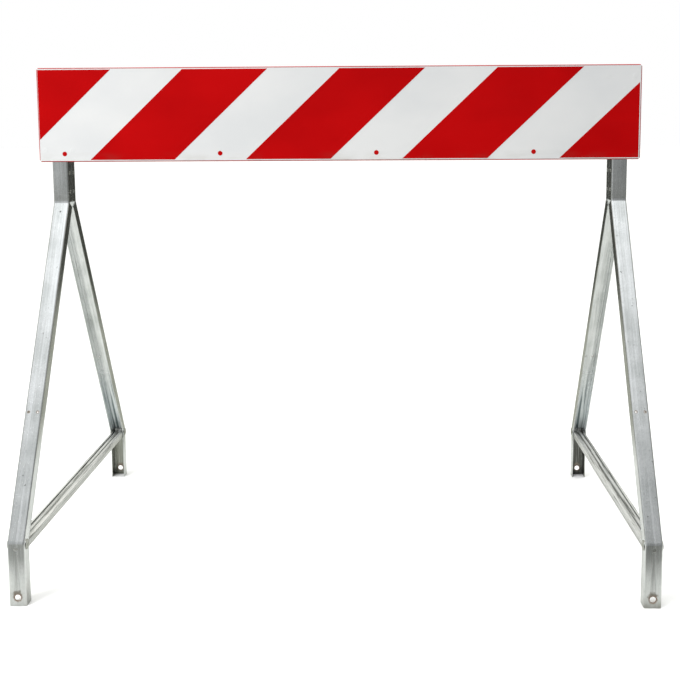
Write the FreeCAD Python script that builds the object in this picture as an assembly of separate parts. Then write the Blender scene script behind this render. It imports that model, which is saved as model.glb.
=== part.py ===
import FreeCAD, Part
import math
import os

os.makedirs("parts", exist_ok=True)
V = FreeCAD.Vector

# ---------------------------------------------------------------- driving dimensions, mm
# Board: a shallow tray of folded zinc-coated sheet, carrying the striped film.
board_length = 1290.0
board_height = 200.0
board_lower_edge = 835.0
board_sheet = 1.0
rim_depth = 20.0
rim_lip = 6.0
corner_relief = 3.0
fold_radius = 1.8

# Film: a white reflective ground with slanted red bars laid on it.
film_thickness = 0.3
film_margin = 2.5
bar_margin = 4.0
bar_angle_deg = 43.5
bar_pitch = 336.0
bar_width = 182.0
first_bar_end = 159.0
roundel_radius = 5.0
roundel_height = 17.0

# Trestles: two bent channels back to back make the post, then part into two legs.
post_spacing = 1204.0
channel_width = 33.0
channel_flange = 25.0
channel_sheet = 2.0
channel_fold_radius = 3.2
flange_gap = 1.0
apex_height = 748.0
foot_height = 124.0
foot_spread = 760.0
foot_hole_radius = 6.0
foot_hole_height = 17.0
leg_hole_radius = 1.6
leg_hole_spacing = 18.0
leg_hole_height = 345.0
lap_radius = 9.5
lap_notch = 7.0

# Core tube inside the post and the blind rivets that hold it.
core_sheet = 1.5
core_slack = 0.15
blind_rivet_radius = 2.0
blind_head_radius = 3.6
blind_head_height = 1.3

# Foot brace: a lipped channel, open upward, with upright end tabs.
brace_height = 15.0
brace_sheet = 1.5
brace_slack = 0.3
brace_lip = 5.0
brace_drop = 4.0
brace_rivet_radius = 2.4

# Pockets on the back of the board: hat brackets, weld nuts and wing screws.
pocket_slack = 0.6
bracket_sheet = 2.0
bracket_height = 40.0
bracket_foot = 20.0
bracket_inset = 9.0
bracket_rivet_radius = 2.4
bracket_rivet_inset = 15.0
stop_gap = 0.3
screw_radius = 4.0
screw_slack = 0.05
screw_tip_gap = 0.4
screw_length = 30.0
nut_across_flats = 14.0
nut_height = 6.5
wing_span = 46.0
wing_height = 15.0
hub_radius = 7.5
rivet_slack = 0.05

# ---------------------------------------------------------------- derived positions
half_length = board_length / 2.0
board_top = board_lower_edge + board_height
half_post = channel_flange + flange_gap / 2.0
half_spread = foot_spread / 2.0
half_width = channel_width / 2.0
panel_back = -half_post - pocket_slack
panel_front = panel_back - board_sheet
film_front = panel_front - film_thickness
rim_back = panel_front + rim_depth
bracket_top = board_top - bracket_inset
lower_bracket_base = board_lower_edge + bracket_inset + 1.0
cap_underside = bracket_top - bracket_sheet
post_top = cap_underside - stop_gap
pocket_half = half_width + pocket_slack
pocket_back = half_post + pocket_slack
bracket_back = pocket_back + bracket_sheet
screw_height = lower_bracket_base + bracket_height / 2.0
end_room = half_length - board_sheet - 1.0 - post_spacing / 2.0 - pocket_half - bracket_sheet
foot_reach = min(bracket_foot, end_room)
lean = math.atan2(half_spread - half_post, apex_height - foot_height)


# ---------------------------------------------------------------- shape helpers
def block(x0, x1, y0, y1, z0, z1):
    """A box between two corners."""
    return Part.makeBox(x1 - x0, y1 - y0, z1 - z0, V(x0, y0, z0))


def rod(x, y, z, axis, radius, length):
    """A round bar that starts at a point and runs along an axis."""
    return Part.makeCylinder(radius, length, V(x, y, z), axis)


def side_plate(points, x0, x1):
    """A plate cut to a Y-Z outline and as thick as x0 to x1."""
    corners = [V(x0, y, z) for y, z in points]
    return Part.Face(Part.makePolygon(corners + corners[:1])).extrude(V(x1 - x0, 0, 0))


def front_plate(points, y0, y1):
    """A plate cut to an X-Z outline and as thick as y0 to y1."""
    corners = [V(x, y0, z) for x, z in points]
    return Part.Face(Part.makePolygon(corners + corners[:1])).extrude(V(0, y1 - y0, 0))


def join(shapes):
    """One solid from shapes that touch or overlap."""
    whole = shapes[0]
    for shape in shapes[1:]:
        whole = whole.fuse(shape)
    return whole.removeSplitter()


def cut(shape, tools):
    """The shape with every tool taken away."""
    for tool in tools:
        shape = shape.cut(tool)
    return shape


def save(name, shapes):
    """Write one node: a single solid, or a group of separate solids."""
    whole = shapes[0] if len(shapes) == 1 else Part.makeCompound(shapes)
    whole.exportStep("parts/%s.step" % name)


def clip_outline(points, low, high):
    """Keep the part of an X-Z outline that lies between two X limits."""
    for limit, sign in ((low, 1.0), (high, -1.0)):
        kept = []
        for (xa, za), (xb, zb) in zip(points, points[1:] + points[:1]):
            inside_a = sign * (xa - limit) >= 0.0
            inside_b = sign * (xb - limit) >= 0.0
            if inside_a:
                kept.append((xa, za))
            if inside_a != inside_b:
                share = (limit - xa) / (xb - xa)
                kept.append((limit, za + share * (zb - za)))
        points = kept
        if not points:
            return points
    return points


# ---------------------------------------------------------------- board
def folded_box(y0, y1, inset):
    """The body of the board with its four long folds rounded at the front."""
    low = board_lower_edge + inset
    high = board_top - inset
    body = block(-half_length + inset, half_length - inset, y0, y1, low, high)
    radius = max(fold_radius - inset, 0.6)
    front_edges = [e for e in body.Edges if abs(e.BoundBox.YMax - y0) < 0.01 and e.BoundBox.YLength < 0.01]
    return body.makeFillet(radius, front_edges)


def make_panel():
    """Front sheet, four rims turned back, four stiffening lips turned in."""
    outer = folded_box(panel_front, rim_back, 0.0)
    inner = folded_box(panel_back, rim_back - board_sheet, board_sheet)
    mouth_x = half_length - board_sheet - rim_lip
    mouth_low = board_lower_edge + board_sheet + rim_lip
    mouth_high = board_top - board_sheet - rim_lip
    mouth = block(-mouth_x, mouth_x, panel_back + 2.0, rim_back + 1.0, mouth_low, mouth_high)
    panel = cut(outer, [inner, mouth])
    tools = []
    reach = board_sheet + rim_lip + 1.0
    relief_front = panel_back + 3.0
    for side in (-1.0, 1.0):
        edge = side * half_length
        for level, way in ((board_lower_edge, 1.0), (board_top, -1.0)):
            xs = sorted((edge + side, edge - side * corner_relief))
            zs = sorted((level - way, level + way * corner_relief))
            tools.append(block(xs[0], xs[1], relief_front, rim_back + 1.0, zs[0], zs[1]))
            xs = sorted((edge + side, edge - side * reach))
            zs = sorted((level - way, level + way * reach))
            slit = rim_back - board_sheet - 0.5
            tools.append(block(xs[0], xs[1], slit, rim_back + 1.0, zs[0], zs[1]))
        post = side * post_spacing / 2.0
        gap = pocket_half + 2.5
        low = board_lower_edge - 1.0
        tools.append(block(post - gap, post + gap, panel_back, rim_back + 1.0, low, mouth_low + 1.0))
        for x, z in rivet_places(side):
            tools.append(countersunk_hole(x, z))
    return cut(panel, tools)


def rivet_places(side):
    """Centres of the four flush rivets that hold one post's two hat brackets."""
    post = side * post_spacing / 2.0
    offset = pocket_half + bracket_sheet + foot_reach / 2.0
    levels = (bracket_top - bracket_rivet_inset, lower_bracket_base + bracket_rivet_inset)
    return [(post + way * offset, z) for way in (-1.0, 1.0) for z in levels]


def countersunk_hole(x, z):
    """Clearance for one flush rivet through the front sheet."""
    wide = bracket_rivet_radius + 1.6 + rivet_slack
    narrow = bracket_rivet_radius + rivet_slack
    cone = Part.makeCone(wide, narrow, board_sheet * 0.7, V(x, panel_front, z), V(0, 1, 0))
    return cone.fuse(rod(x, panel_front, z, V(0, 1, 0), narrow, board_sheet + 1.0))


def make_bracket(side, base, top, capped):
    """A hat bracket: two feet, two walls and a back, with an end cap if asked."""
    post = side * post_spacing / 2.0
    wall = pocket_half + bracket_sheet
    foot = wall + foot_reach
    outline = [
        (-foot, 0.0), (-foot, bracket_sheet), (-wall, bracket_sheet), (-wall, bracket_back - panel_back),
        (wall, bracket_back - panel_back), (wall, bracket_sheet), (foot, bracket_sheet), (foot, 0.0),
        (pocket_half, 0.0), (pocket_half, pocket_back - panel_back),
        (-pocket_half, pocket_back - panel_back), (-pocket_half, 0.0),
    ]
    corners = [V(post + x, panel_back + y, base) for x, y in outline]
    hat = Part.Face(Part.makePolygon(corners + corners[:1])).extrude(V(0, 0, top - base))
    bends = []
    for edge in hat.Edges:
        box = edge.BoundBox
        upright = box.ZLength > 0.9 * (top - base)
        at_back = abs(box.YMax - bracket_back) < 0.01 and abs(abs(box.XMax - post) - wall) < 0.01
        if upright and at_back:
            bends.append(edge)
    hat = hat.makeFillet(bracket_sheet * 0.9, bends)
    if capped:
        front = panel_back + 8.0
        lid = block(post - wall, post + wall, front, pocket_back, top - bracket_sheet, top)
        hat = join([hat, lid])
    tools = []
    bore = bracket_rivet_radius + rivet_slack
    for x, z in rivet_places(side):
        tools.append(rod(x, panel_back, z, V(0, 1, 0), bore, bracket_sheet + 1.0))
    if not capped:
        hole = screw_radius + 0.5
        tools.append(rod(post, pocket_back - 1.0, screw_height, V(0, 1, 0), hole, bracket_sheet + 2.0))
    return cut(hat, tools)


def make_bracket_rivets(side):
    """Flush rivets, flat at the front under the film and domed at the back."""
    rivets = []
    for x, z in rivet_places(side):
        wide = bracket_rivet_radius + 1.6
        back = panel_back + bracket_sheet
        head = Part.makeCone(wide, bracket_rivet_radius, board_sheet * 0.7, V(x, panel_front, z), V(0, 1, 0))
        shank = rod(x, panel_front, z, V(0, 1, 0), bracket_rivet_radius, back - panel_front + 0.5)
        dome = Part.makeCone(4.2, 2.6, 1.6, V(x, back, z), V(0, 1, 0))
        rivets.append(join([shank, head, dome]))
    return rivets


def make_bars():
    """Outlines of the red bars, left to right, cut off by the ends of the board."""
    low = board_lower_edge + bar_margin
    high = board_top - bar_margin
    slant = (high - low) / math.tan(math.radians(bar_angle_deg))
    left = -half_length + film_margin
    right = half_length - bar_margin
    bars = []
    end = -half_length + first_bar_end
    while end - bar_width - slant < right:
        start = end - bar_width
        outline = [(start - slant, low), (end - slant, low), (end, high), (start, high)]
        outline = clip_outline(outline, left, right)
        if len(outline) > 2:
            bars.append(outline)
        end += bar_pitch
    return bars


def make_roundels():
    """Small plain dots low on each white field, where a supplier's mark would be."""
    slope = math.tan(math.radians(bar_angle_deg))
    low = board_lower_edge + roundel_height
    foot_x = -half_length + first_bar_end - (board_height - bar_margin - roundel_height) / slope
    centre = foot_x + (bar_pitch - bar_width) * 0.55
    dots = []
    while centre < half_length - film_margin - 2.0 * roundel_radius:
        if centre > -half_length + film_margin + 2.0 * roundel_radius:
            dots.append(rod(centre, film_front, low, V(0, -1, 0), roundel_radius, film_thickness))
        centre += bar_pitch
    return dots


# ---------------------------------------------------------------- trestle
def channel_run(start, end, inward):
    """A straight length of folded channel with its outer web face on start-end."""
    half = half_width
    depth = channel_flange
    sheet = channel_sheet
    bend = channel_fold_radius
    across = V(1, 0, 0)

    def at(x, q):
        return start + across * x + inward * q

    def line(a, b):
        return Part.makeLine(at(*a), at(*b))

    def arc(a, middle, b):
        return Part.Arc(at(*a), at(*middle), at(*b)).toShape()

    near = bend * (1.0 - math.sqrt(0.5))
    near_in = sheet + (bend - sheet) * (1.0 - math.sqrt(0.5))
    edges = [
        line((-half, depth), (-half, bend)),
        arc((-half, bend), (-half + near, near), (-half + bend, 0)),
        line((-half + bend, 0), (half - bend, 0)),
        arc((half - bend, 0), (half - near, near), (half, bend)),
        line((half, bend), (half, depth)),
        line((half, depth), (half - sheet, depth)),
        line((half - sheet, depth), (half - sheet, bend)),
        arc((half - sheet, bend), (half - near_in, near_in), (half - bend, sheet)),
        line((half - bend, sheet), (-half + bend, sheet)),
        arc((-half + bend, sheet), (-half + near_in, near_in), (-half + sheet, bend)),
        line((-half + sheet, bend), (-half + sheet, depth)),
        line((-half + sheet, depth), (-half, depth)),
    ]
    return Part.Face(Part.Wire(edges)).extrude(end - start)


def mitre_side(point, along, way):
    """A wide slab on one side of the mitre line that runs through a bend."""
    normal = V(0, -along.z, along.y) * (150 * way)
    first = point - along * 150
    last = point + along * 150
    corners = [first, last, last + normal, first + normal]
    return side_plate([(corner.y, corner.z) for corner in corners], -half_width - 5.0, half_width + 5.0)


def make_leg():
    """One bent channel at x = 0: post, slanted leg and upright foot, web to the front."""
    top = V(0, -half_post, post_top)
    apex = V(0, -half_post, apex_height)
    ankle = V(0, -half_spread, foot_height)
    sole = V(0, -half_spread, 0)
    down = (ankle - apex).normalize()
    inward = V(0, math.cos(lean), -math.sin(lean))
    mitre = V(0, math.cos(lean / 2.0), -math.sin(lean / 2.0))
    past = 30.0

    post = channel_run(top, apex - V(0, 0, past), V(0, 1, 0)).cut(mitre_side(apex, mitre, -1.0))
    leg = channel_run(apex - down * past, ankle + down * past, inward)
    leg = cut(leg, [mitre_side(apex, mitre, 1.0), mitre_side(ankle, mitre, -1.0)])
    foot = channel_run(ankle + V(0, 0, past), sole, V(0, 1, 0)).cut(mitre_side(ankle, mitre, 1.0))

    # The flanges are lapped at the ankle, with a round tongue on the outside.
    lap = ankle + mitre * (channel_flange * 0.55) - V(0, 0, 2.0)
    tongues = []
    for x in (half_width, -half_width - channel_sheet):
        tongues.append(rod(x, lap.y, lap.z, V(1, 0, 0), lap_radius, channel_sheet))
    shape = join([post, leg, foot] + tongues)

    # Slit flanges open into a V at the apex and keep a small notch at the ankle.
    root = apex + mitre * (channel_fold_radius + 1.0)
    mouth = channel_flange + 4.0
    tip = apex + inward * mouth
    slit = [(root.y, root.z), (apex.y + mouth, apex.z), (tip.y, tip.z)]
    edge = ankle + mitre * (channel_flange / math.cos(lean / 2.0))
    back = edge + mitre * 4.0
    inside = edge - mitre * lap_notch
    notch = [(inside.y, inside.z), (back.y, back.z + 0.5 * lap_notch), (back.y, back.z - 0.2 * lap_notch)]
    wide = half_width + 5.0
    tools = [side_plate(slit, -wide, wide), side_plate(notch, -wide, wide)]
    outside = -half_spread - 1.0
    tools.append(rod(0, outside, foot_hole_height, V(0, 1, 0), foot_hole_radius, channel_sheet + 2.0))
    share = (apex_height - leg_hole_height) / (apex_height - foot_height)
    centre = apex + (ankle - apex) * share - inward * 4.0
    for side in (-0.5, 0.5):
        start = centre + V(side * leg_hole_spacing, 0, 0)
        tools.append(Part.makeCylinder(leg_hole_radius, 9.0, start, inward))
    tools.append(brace_rivet_hole())
    tools += blind_rivet_holes()
    return cut(shape, tools)


def brace_levels():
    """Bottom and top of the foot brace."""
    top = foot_height - brace_drop
    return top - brace_height, top


def brace_rivet_hole():
    """Countersunk hole for the flush rivet through web and brace tab."""
    low, high = brace_levels()
    z = (low + high) / 2.0 + 1.0
    narrow = brace_rivet_radius + rivet_slack
    cone = Part.makeCone(narrow + 2.0, narrow, 1.3, V(0, -half_spread, z), V(0, 1, 0))
    return cone.fuse(rod(0, -half_spread, z, V(0, 1, 0), narrow, 6.0))


def blind_rivet_places():
    """Y-Z places of the blind rivets on each side of the post, below the board."""
    room = board_lower_edge - apex_height
    levels = (apex_height + 0.25 * room, apex_height + 0.72 * room)
    return [(y, z) for y in (-half_post / 2.0, half_post / 2.0) for z in levels]


def blind_rivet_holes():
    """Cross-drilled holes for all blind rivets of one post."""
    radius = blind_rivet_radius + rivet_slack
    reach = half_width + 5.0
    return [rod(-reach, y, z, V(1, 0, 0), radius, 2.0 * reach) for y, z in blind_rivet_places()]


def make_core():
    """Square tube inside the post that ties the two channels together."""
    x = half_width - channel_sheet - core_slack
    y = half_post - channel_sheet - core_slack
    low = apex_height + 8.0
    high = post_top - 6.0
    tube = block(-x, x, -y, y, low, high)
    upright = [e for e in tube.Edges if e.BoundBox.ZLength > 1.0]
    tube = tube.makeFillet(channel_fold_radius - channel_sheet + 0.6, upright)
    bore = block(-x + core_sheet, x - core_sheet, -y + core_sheet, y - core_sheet, low - 1.0, high + 1.0)
    return cut(tube, [bore] + blind_rivet_holes())


def make_blind_rivets():
    """Domed blind rivets through flange and core, on both sides of the post."""
    rivets = []
    grip = channel_sheet + core_slack + core_sheet
    for side in (-1.0, 1.0):
        for y, z in blind_rivet_places():
            face = side * half_width
            out = V(side, 0, 0)
            head = Part.makeCone(blind_head_radius, 2.0, blind_head_height, V(face, y, z), out)
            start = face - side * (grip + 1.0)
            shank = rod(start, y, z, out, blind_rivet_radius, grip + 1.0 + 0.4)
            tail = rod(start, y, z, out, blind_rivet_radius + 0.6, 1.0)
            rivets.append(join([head, shank, tail]))
    return rivets


def make_brace():
    """Lipped channel between the two feet, open side up, with upright end tabs."""
    low, high = brace_levels()
    half = half_width - channel_sheet - brace_slack
    reach = half_spread - channel_sheet
    sheet = brace_sheet
    outline = [
        (-half, low), (half, low), (half, high), (half - brace_lip, high),
        (half - brace_lip, high - sheet), (half - sheet, high - sheet),
        (half - sheet, low + sheet), (-half + sheet, low + sheet),
        (-half + sheet, high - sheet), (-half + brace_lip, high - sheet),
        (-half + brace_lip, high), (-half, high),
    ]
    body = front_plate(outline, sheet - reach, reach - sheet)
    long_edges = []
    for edge in body.Edges:
        box = edge.BoundBox
        outside = abs(abs(box.XMax) - half) < 0.01 and box.XLength < 0.01
        if box.YLength > 100.0 and outside:
            long_edges.append(edge)
    body = body.makeFillet(sheet * 0.9, long_edges)
    trim = channel_flange + 3.0
    tools = []
    tabs = []
    for side in (-1.0, 1.0):
        ys = sorted((side * (reach + 1.0), side * (reach - trim)))
        tools.append(block(-half + sheet, half - sheet, ys[0], ys[1], high - sheet - 0.5, high + 1.0))
        ys = sorted((side * reach, side * (reach - sheet)))
        tabs.append(block(-half + 2.4, half - 2.4, ys[0], ys[1], low + 0.4, foot_height - 1.0))
    shape = join([cut(body, tools)] + tabs)
    hole = brace_rivet_hole()
    return cut(shape, [hole, hole.mirror(V(0, 0, 0), V(0, 1, 0))])


def make_brace_rivets():
    """Two flush rivets, one through each end tab of the brace."""
    low, high = brace_levels()
    z = (low + high) / 2.0 + 1.0
    grip = channel_sheet + brace_sheet
    face = -half_spread
    head = Part.makeCone(brace_rivet_radius + 2.0, brace_rivet_radius, 1.3, V(0, face, z), V(0, 1, 0))
    shank = rod(0, face, z, V(0, 1, 0), brace_rivet_radius, grip + 0.5)
    dome = Part.makeCone(4.4, 2.8, 1.8, V(0, face + grip, z), V(0, 1, 0))
    front = join([head, shank, dome])
    return [front, front.mirror(V(0, 0, 0), V(0, 1, 0))]


# ---------------------------------------------------------------- wing screw
def make_weld_nut(post):
    """Hexagon weld nut on the back of the lower hat bracket."""
    radius = nut_across_flats / math.sqrt(3.0)
    centre = V(post, bracket_back, screw_height)
    corners = []
    for step in range(7):
        angle = math.radians(60.0 * step + 30.0)
        corners.append(centre + V(radius * math.cos(angle), 0, radius * math.sin(angle)))
    body = Part.Face(Part.makePolygon(corners)).extrude(V(0, nut_height, 0))
    collar = Part.makeCone(radius + 1.5, radius * 0.8, nut_height, centre, V(0, 1, 0))
    radius = screw_radius + screw_slack
    bore = rod(post, bracket_back - 1.0, screw_height, V(0, 1, 0), radius, nut_height + 2.0)
    return cut(body.common(collar), [bore])


def make_screw(post):
    """Plain-modelled M8 shank with a chamfered tip."""
    tip = half_post + screw_tip_gap
    shank = rod(post, tip + 1.0, screw_height, V(0, 1, 0), screw_radius, screw_length - 1.0)
    point = Part.makeCone(screw_radius - 1.0, screw_radius, 1.0, V(post, tip, screw_height), V(0, 1, 0))
    return join([shank, point])


def make_wing(post):
    """Cast wing head: a hub with two flared wings, pressed on the screw."""
    base = half_post + screw_tip_gap + screw_length - 10.0
    hub = Part.makeCone(hub_radius, hub_radius - 1.5, 12.0, V(post, base, screw_height), V(0, 1, 0))
    half = wing_span / 2.0
    shapes = [hub]
    for side in (-1.0, 1.0):
        points = [
            (side * 3.0, base + 1.5), (side * (half * 0.62), base + 3.0), (side * (half - 2.0), base + 8.0),
            (side * half, base + wing_height - 2.0), (side * (half - 4.0), base + wing_height),
            (side * (half * 0.55), base + 11.0), (side * 3.0, base + 10.5),
        ]
        corners = [V(post + x, y, screw_height - 2.0) for x, y in points]
        shapes.append(Part.Face(Part.makePolygon(corners + corners[:1])).extrude(V(0, 0, 4.0)))
    bore = rod(post, base - 1.0, screw_height, V(0, 1, 0), screw_radius, 11.0)
    return cut(join(shapes), [bore])


# ---------------------------------------------------------------- write the nodes
save("rail_panel", [make_panel()])
film_x = half_length - film_margin
film_low = board_lower_edge + film_margin
film_high = board_top - film_margin
save("white_film", [block(-film_x, film_x, film_front, panel_front, film_low, film_high)])
for number, outline in enumerate(make_bars(), start=1):
    save("red_bar_%d" % number, [front_plate(outline, film_front - film_thickness, film_front)])
save("film_roundels", make_roundels())

leg_shape = make_leg()
core_shape = make_core()
brace_shape = make_brace()
for label, side in (("left", -1.0), ("right", 1.0)):
    post_x = side * post_spacing / 2.0
    shift = V(post_x, 0, 0)
    low_base = lower_bracket_base
    save("upper_bracket_%s" % label, [make_bracket(side, bracket_top - bracket_height, bracket_top, True)])
    save("lower_bracket_%s" % label, [make_bracket(side, low_base, low_base + bracket_height, False)])
    save("bracket_rivets_%s" % label, make_bracket_rivets(side))
    save("weld_nut_%s" % label, [make_weld_nut(post_x)])
    save("clamp_screw_%s" % label, [make_screw(post_x)])
    save("clamp_wing_%s" % label, [make_wing(post_x)])
    save("front_leg_%s" % label, [leg_shape.translated(shift)])
    save("rear_leg_%s" % label, [leg_shape.mirror(V(0, 0, 0), V(0, 1, 0)).translated(shift)])
    save("post_core_%s" % label, [core_shape.translated(shift)])
    save("blind_rivets_%s" % label, [rivet.translated(shift) for rivet in make_blind_rivets()])
    save("foot_brace_%s" % label, [brace_shape.translated(shift)])
    save("brace_rivets_%s" % label, [rivet.translated(shift) for rivet in make_brace_rivets()])
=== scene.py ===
"""A road works barricade: a striped board on two bent-channel trestles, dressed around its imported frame."""

from __future__ import annotations

import logging
import math
from dataclasses import dataclass, field
from enum import Enum
from typing import NamedTuple, TypeAlias

import bmesh
import bpy
from mathutils import Matrix, Vector

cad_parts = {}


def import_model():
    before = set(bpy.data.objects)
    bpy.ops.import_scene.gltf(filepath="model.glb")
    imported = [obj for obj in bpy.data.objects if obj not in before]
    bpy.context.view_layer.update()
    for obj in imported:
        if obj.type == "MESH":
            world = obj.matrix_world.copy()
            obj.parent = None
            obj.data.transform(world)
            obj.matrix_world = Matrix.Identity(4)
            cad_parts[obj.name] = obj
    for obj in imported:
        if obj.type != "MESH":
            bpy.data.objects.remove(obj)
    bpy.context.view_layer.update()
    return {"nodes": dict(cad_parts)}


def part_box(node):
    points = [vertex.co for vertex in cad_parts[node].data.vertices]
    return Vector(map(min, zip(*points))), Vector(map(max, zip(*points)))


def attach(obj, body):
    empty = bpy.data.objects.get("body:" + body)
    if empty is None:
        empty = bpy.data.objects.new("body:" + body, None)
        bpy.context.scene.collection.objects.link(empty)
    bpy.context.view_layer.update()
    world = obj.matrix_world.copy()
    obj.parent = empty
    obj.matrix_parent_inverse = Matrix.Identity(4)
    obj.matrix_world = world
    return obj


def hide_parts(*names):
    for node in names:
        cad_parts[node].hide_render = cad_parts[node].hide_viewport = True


log = logging.getLogger("barricade")
logging.basicConfig(level=logging.INFO, format="%(name)s: %(message)s")

Tree: TypeAlias = bpy.types.NodeTree
Node: TypeAlias = bpy.types.Node
Socket: TypeAlias = bpy.types.NodeSocket
Feed: TypeAlias = Node | Socket | float | tuple
Material: TypeAlias = bpy.types.Material
Thing: TypeAlias = bpy.types.Object
Colour: TypeAlias = tuple[float, float, float, float]
# Middle of a hole and its radius, and a hole to drill: centre on the outer face, outward way and radius.
Hole: TypeAlias = tuple[float, float, float, float]
Bore: TypeAlias = tuple[Vector, Vector, float]

BOTH = (-1.0, 1.0)
FORWARD = Vector((0, -1, 0))


class Side(Enum):
    """Which trestle a piece belongs to, as seen from the striped face."""

    LEFT = "left"
    RIGHT = "right"


class End(Enum):
    """Which leg of a trestle, and the turn about the post that puts it there."""

    FRONT = 0.0
    REAR = math.pi


class Level(Enum):
    """Which of a post's two brackets: the upper one sits on the post, the lower one holds the nut."""

    UPPER = "upper"
    LOWER = "lower"


@dataclass(frozen=True)
class TrestleSizes:
    """Sizes that a trestle's shape and its finish both follow, in metres."""

    post_x: float = 0.602
    half_post: float = 0.0255
    spread: float = 0.38
    apex_z: float = 0.748
    ankle_z: float = 0.124
    width: float = 0.033
    flange: float = 0.025
    gauge: float = 0.002
    fold: float = 0.0032
    notch: float = 0.007
    foot_hole: float = 0.006
    foot_hole_z: float = 0.017
    web_hole: float = 0.0016
    web_hole_gap: float = 0.018
    web_hole_z: float = 0.345

    @classmethod
    def read(cls) -> TrestleSizes:
        """Take the depth of the post and the spread of the feet from the frame."""
        low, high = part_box("front_leg_left")
        return cls(spread=-low.y, half_post=cls.flange - high.y)

    @property
    def web_share(self) -> float:
        """How far down the leg the small holes are, from 0 at the apex to 1 at the ankle."""
        return (self.apex_z - self.web_hole_z) / (self.apex_z - self.ankle_z)


# ------------------------------------------------------------------ colour and nodes
def linear(code: str) -> Colour:
    """Turn an sRGB hex colour into linear light.

    Args:
        code: Six hex digits, such as "C8CAC6".

    Returns:
        Linear red, green, blue and an alpha of 1.
    """
    parts = [int(code[i : i + 2], 16) / 255.0 for i in (0, 2, 4)]
    light = [c / 12.92 if c <= 0.04045 else ((c + 0.055) / 1.055) ** 2.4 for c in parts]
    return (*light, 1.0)


def put(tree: Tree, kind: str, settings: dict[str, str], inputs: dict[str | int, Feed]) -> Node:
    """Add one node with its settings and its links.

    Args:
        tree: The node tree to add to.
        kind: The node's type name.
        settings: Attributes to set on the node.
        inputs: Socket name or number to a value, to an output, or to a node whose first output it is.

    Returns:
        The new node.
    """
    node = tree.nodes.new(kind)
    for key, value in settings.items():
        setattr(node, key, value)
    for key, value in inputs.items():
        source = value.outputs[0] if isinstance(value, Node) else value
        if isinstance(source, Socket):
            tree.links.new(source, node.inputs[key])
        else:
            node.inputs[key].default_value = source
    return node


def pattern(tree: Tree, source: Feed, size: tuple[float, float, float], detail: float) -> Node:
    """Make a noise whose features have a real size.

    Args:
        tree: The node tree.
        source: Coordinates in metres.
        size: Feature size along each axis, in millimetres.
        detail: Octaves of the noise.

    Returns:
        The noise, about 0.5 on average.
    """
    scale = tuple(1000.0 / s for s in size)
    stretched = put(tree, "ShaderNodeMapping", {}, {"Vector": source, "Scale": scale})
    return put(tree, "ShaderNodeTexNoise", {}, {"Vector": stretched, "Scale": 1.0, "Detail": detail})


def coated(tree: Tree, ground: Feed, *coats: tuple[Feed, float, float, float, Feed]) -> Feed:
    """Lay coats over a colour, each where a value passes from one level to another.

    Args:
        tree: The node tree.
        ground: The colour below.
        coats: For each coat a value, where it is bare, where it is full, how full, and its colour.

    Returns:
        The finished colour.
    """
    for value, bare, full, most, colour in coats:
        mask = put(tree, "ShaderNodeMapRange", {}, {0: value, 1: bare, 2: full, 4: most})
        ground = put(tree, "ShaderNodeMix", {"data_type": "RGBA"}, {0: mask, 6: ground, 7: colour}).outputs[2]
    return ground


def overlap(tree: Tree, *steps: tuple[Feed, float, float]) -> Node:
    """Make a mask that is on only where every step is on.

    Args:
        tree: The node tree.
        steps: For each step a value, where it is off and where it is fully on.

    Returns:
        The mask.
    """
    masks = [put(tree, "ShaderNodeMapRange", {}, {0: v, 1: off, 2: on}) for v, off, on in steps]
    mask = masks[0]
    for other in masks[1:]:
        mask = put(tree, "ShaderNodeMath", {"operation": "MULTIPLY"}, {0: mask, 1: other})
    return mask


def two_views(tree: Tree, shown: Node, felt: Node) -> Node:
    """Show the camera one shader, and let all other rays meet another."""
    ray = put(tree, "ShaderNodeLightPath", {}, {}).outputs["Is Camera Ray"]
    return put(tree, "ShaderNodeMixShader", {}, {0: ray, 1: felt, 2: shown})


@dataclass(frozen=True)
class Finish:
    """Common ground of all finishes: a name, and a material around one main shader."""

    name: str

    def make(self) -> Material:
        """Build the material.

        Returns:
            The new material.
        """
        material = bpy.data.materials.new(self.name)
        material.use_nodes = True
        tree = material.node_tree
        tree.nodes.clear()
        shader = put(tree, "ShaderNodeBsdfPrincipled", {}, self.sockets(tree))
        put(tree, "ShaderNodeOutputMaterial", {}, {"Surface": shader})
        return material

    def sockets(self, tree: Tree) -> dict[str, Feed]:
        """Values and outputs for the shader's sockets."""
        raise NotImplementedError(self.name)


class Folded(NamedTuple):
    """Object coordinates folded onto one leg, so that one mask serves all four."""

    deep: Node
    height: Socket
    off: Node
    spot: Node


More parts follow.
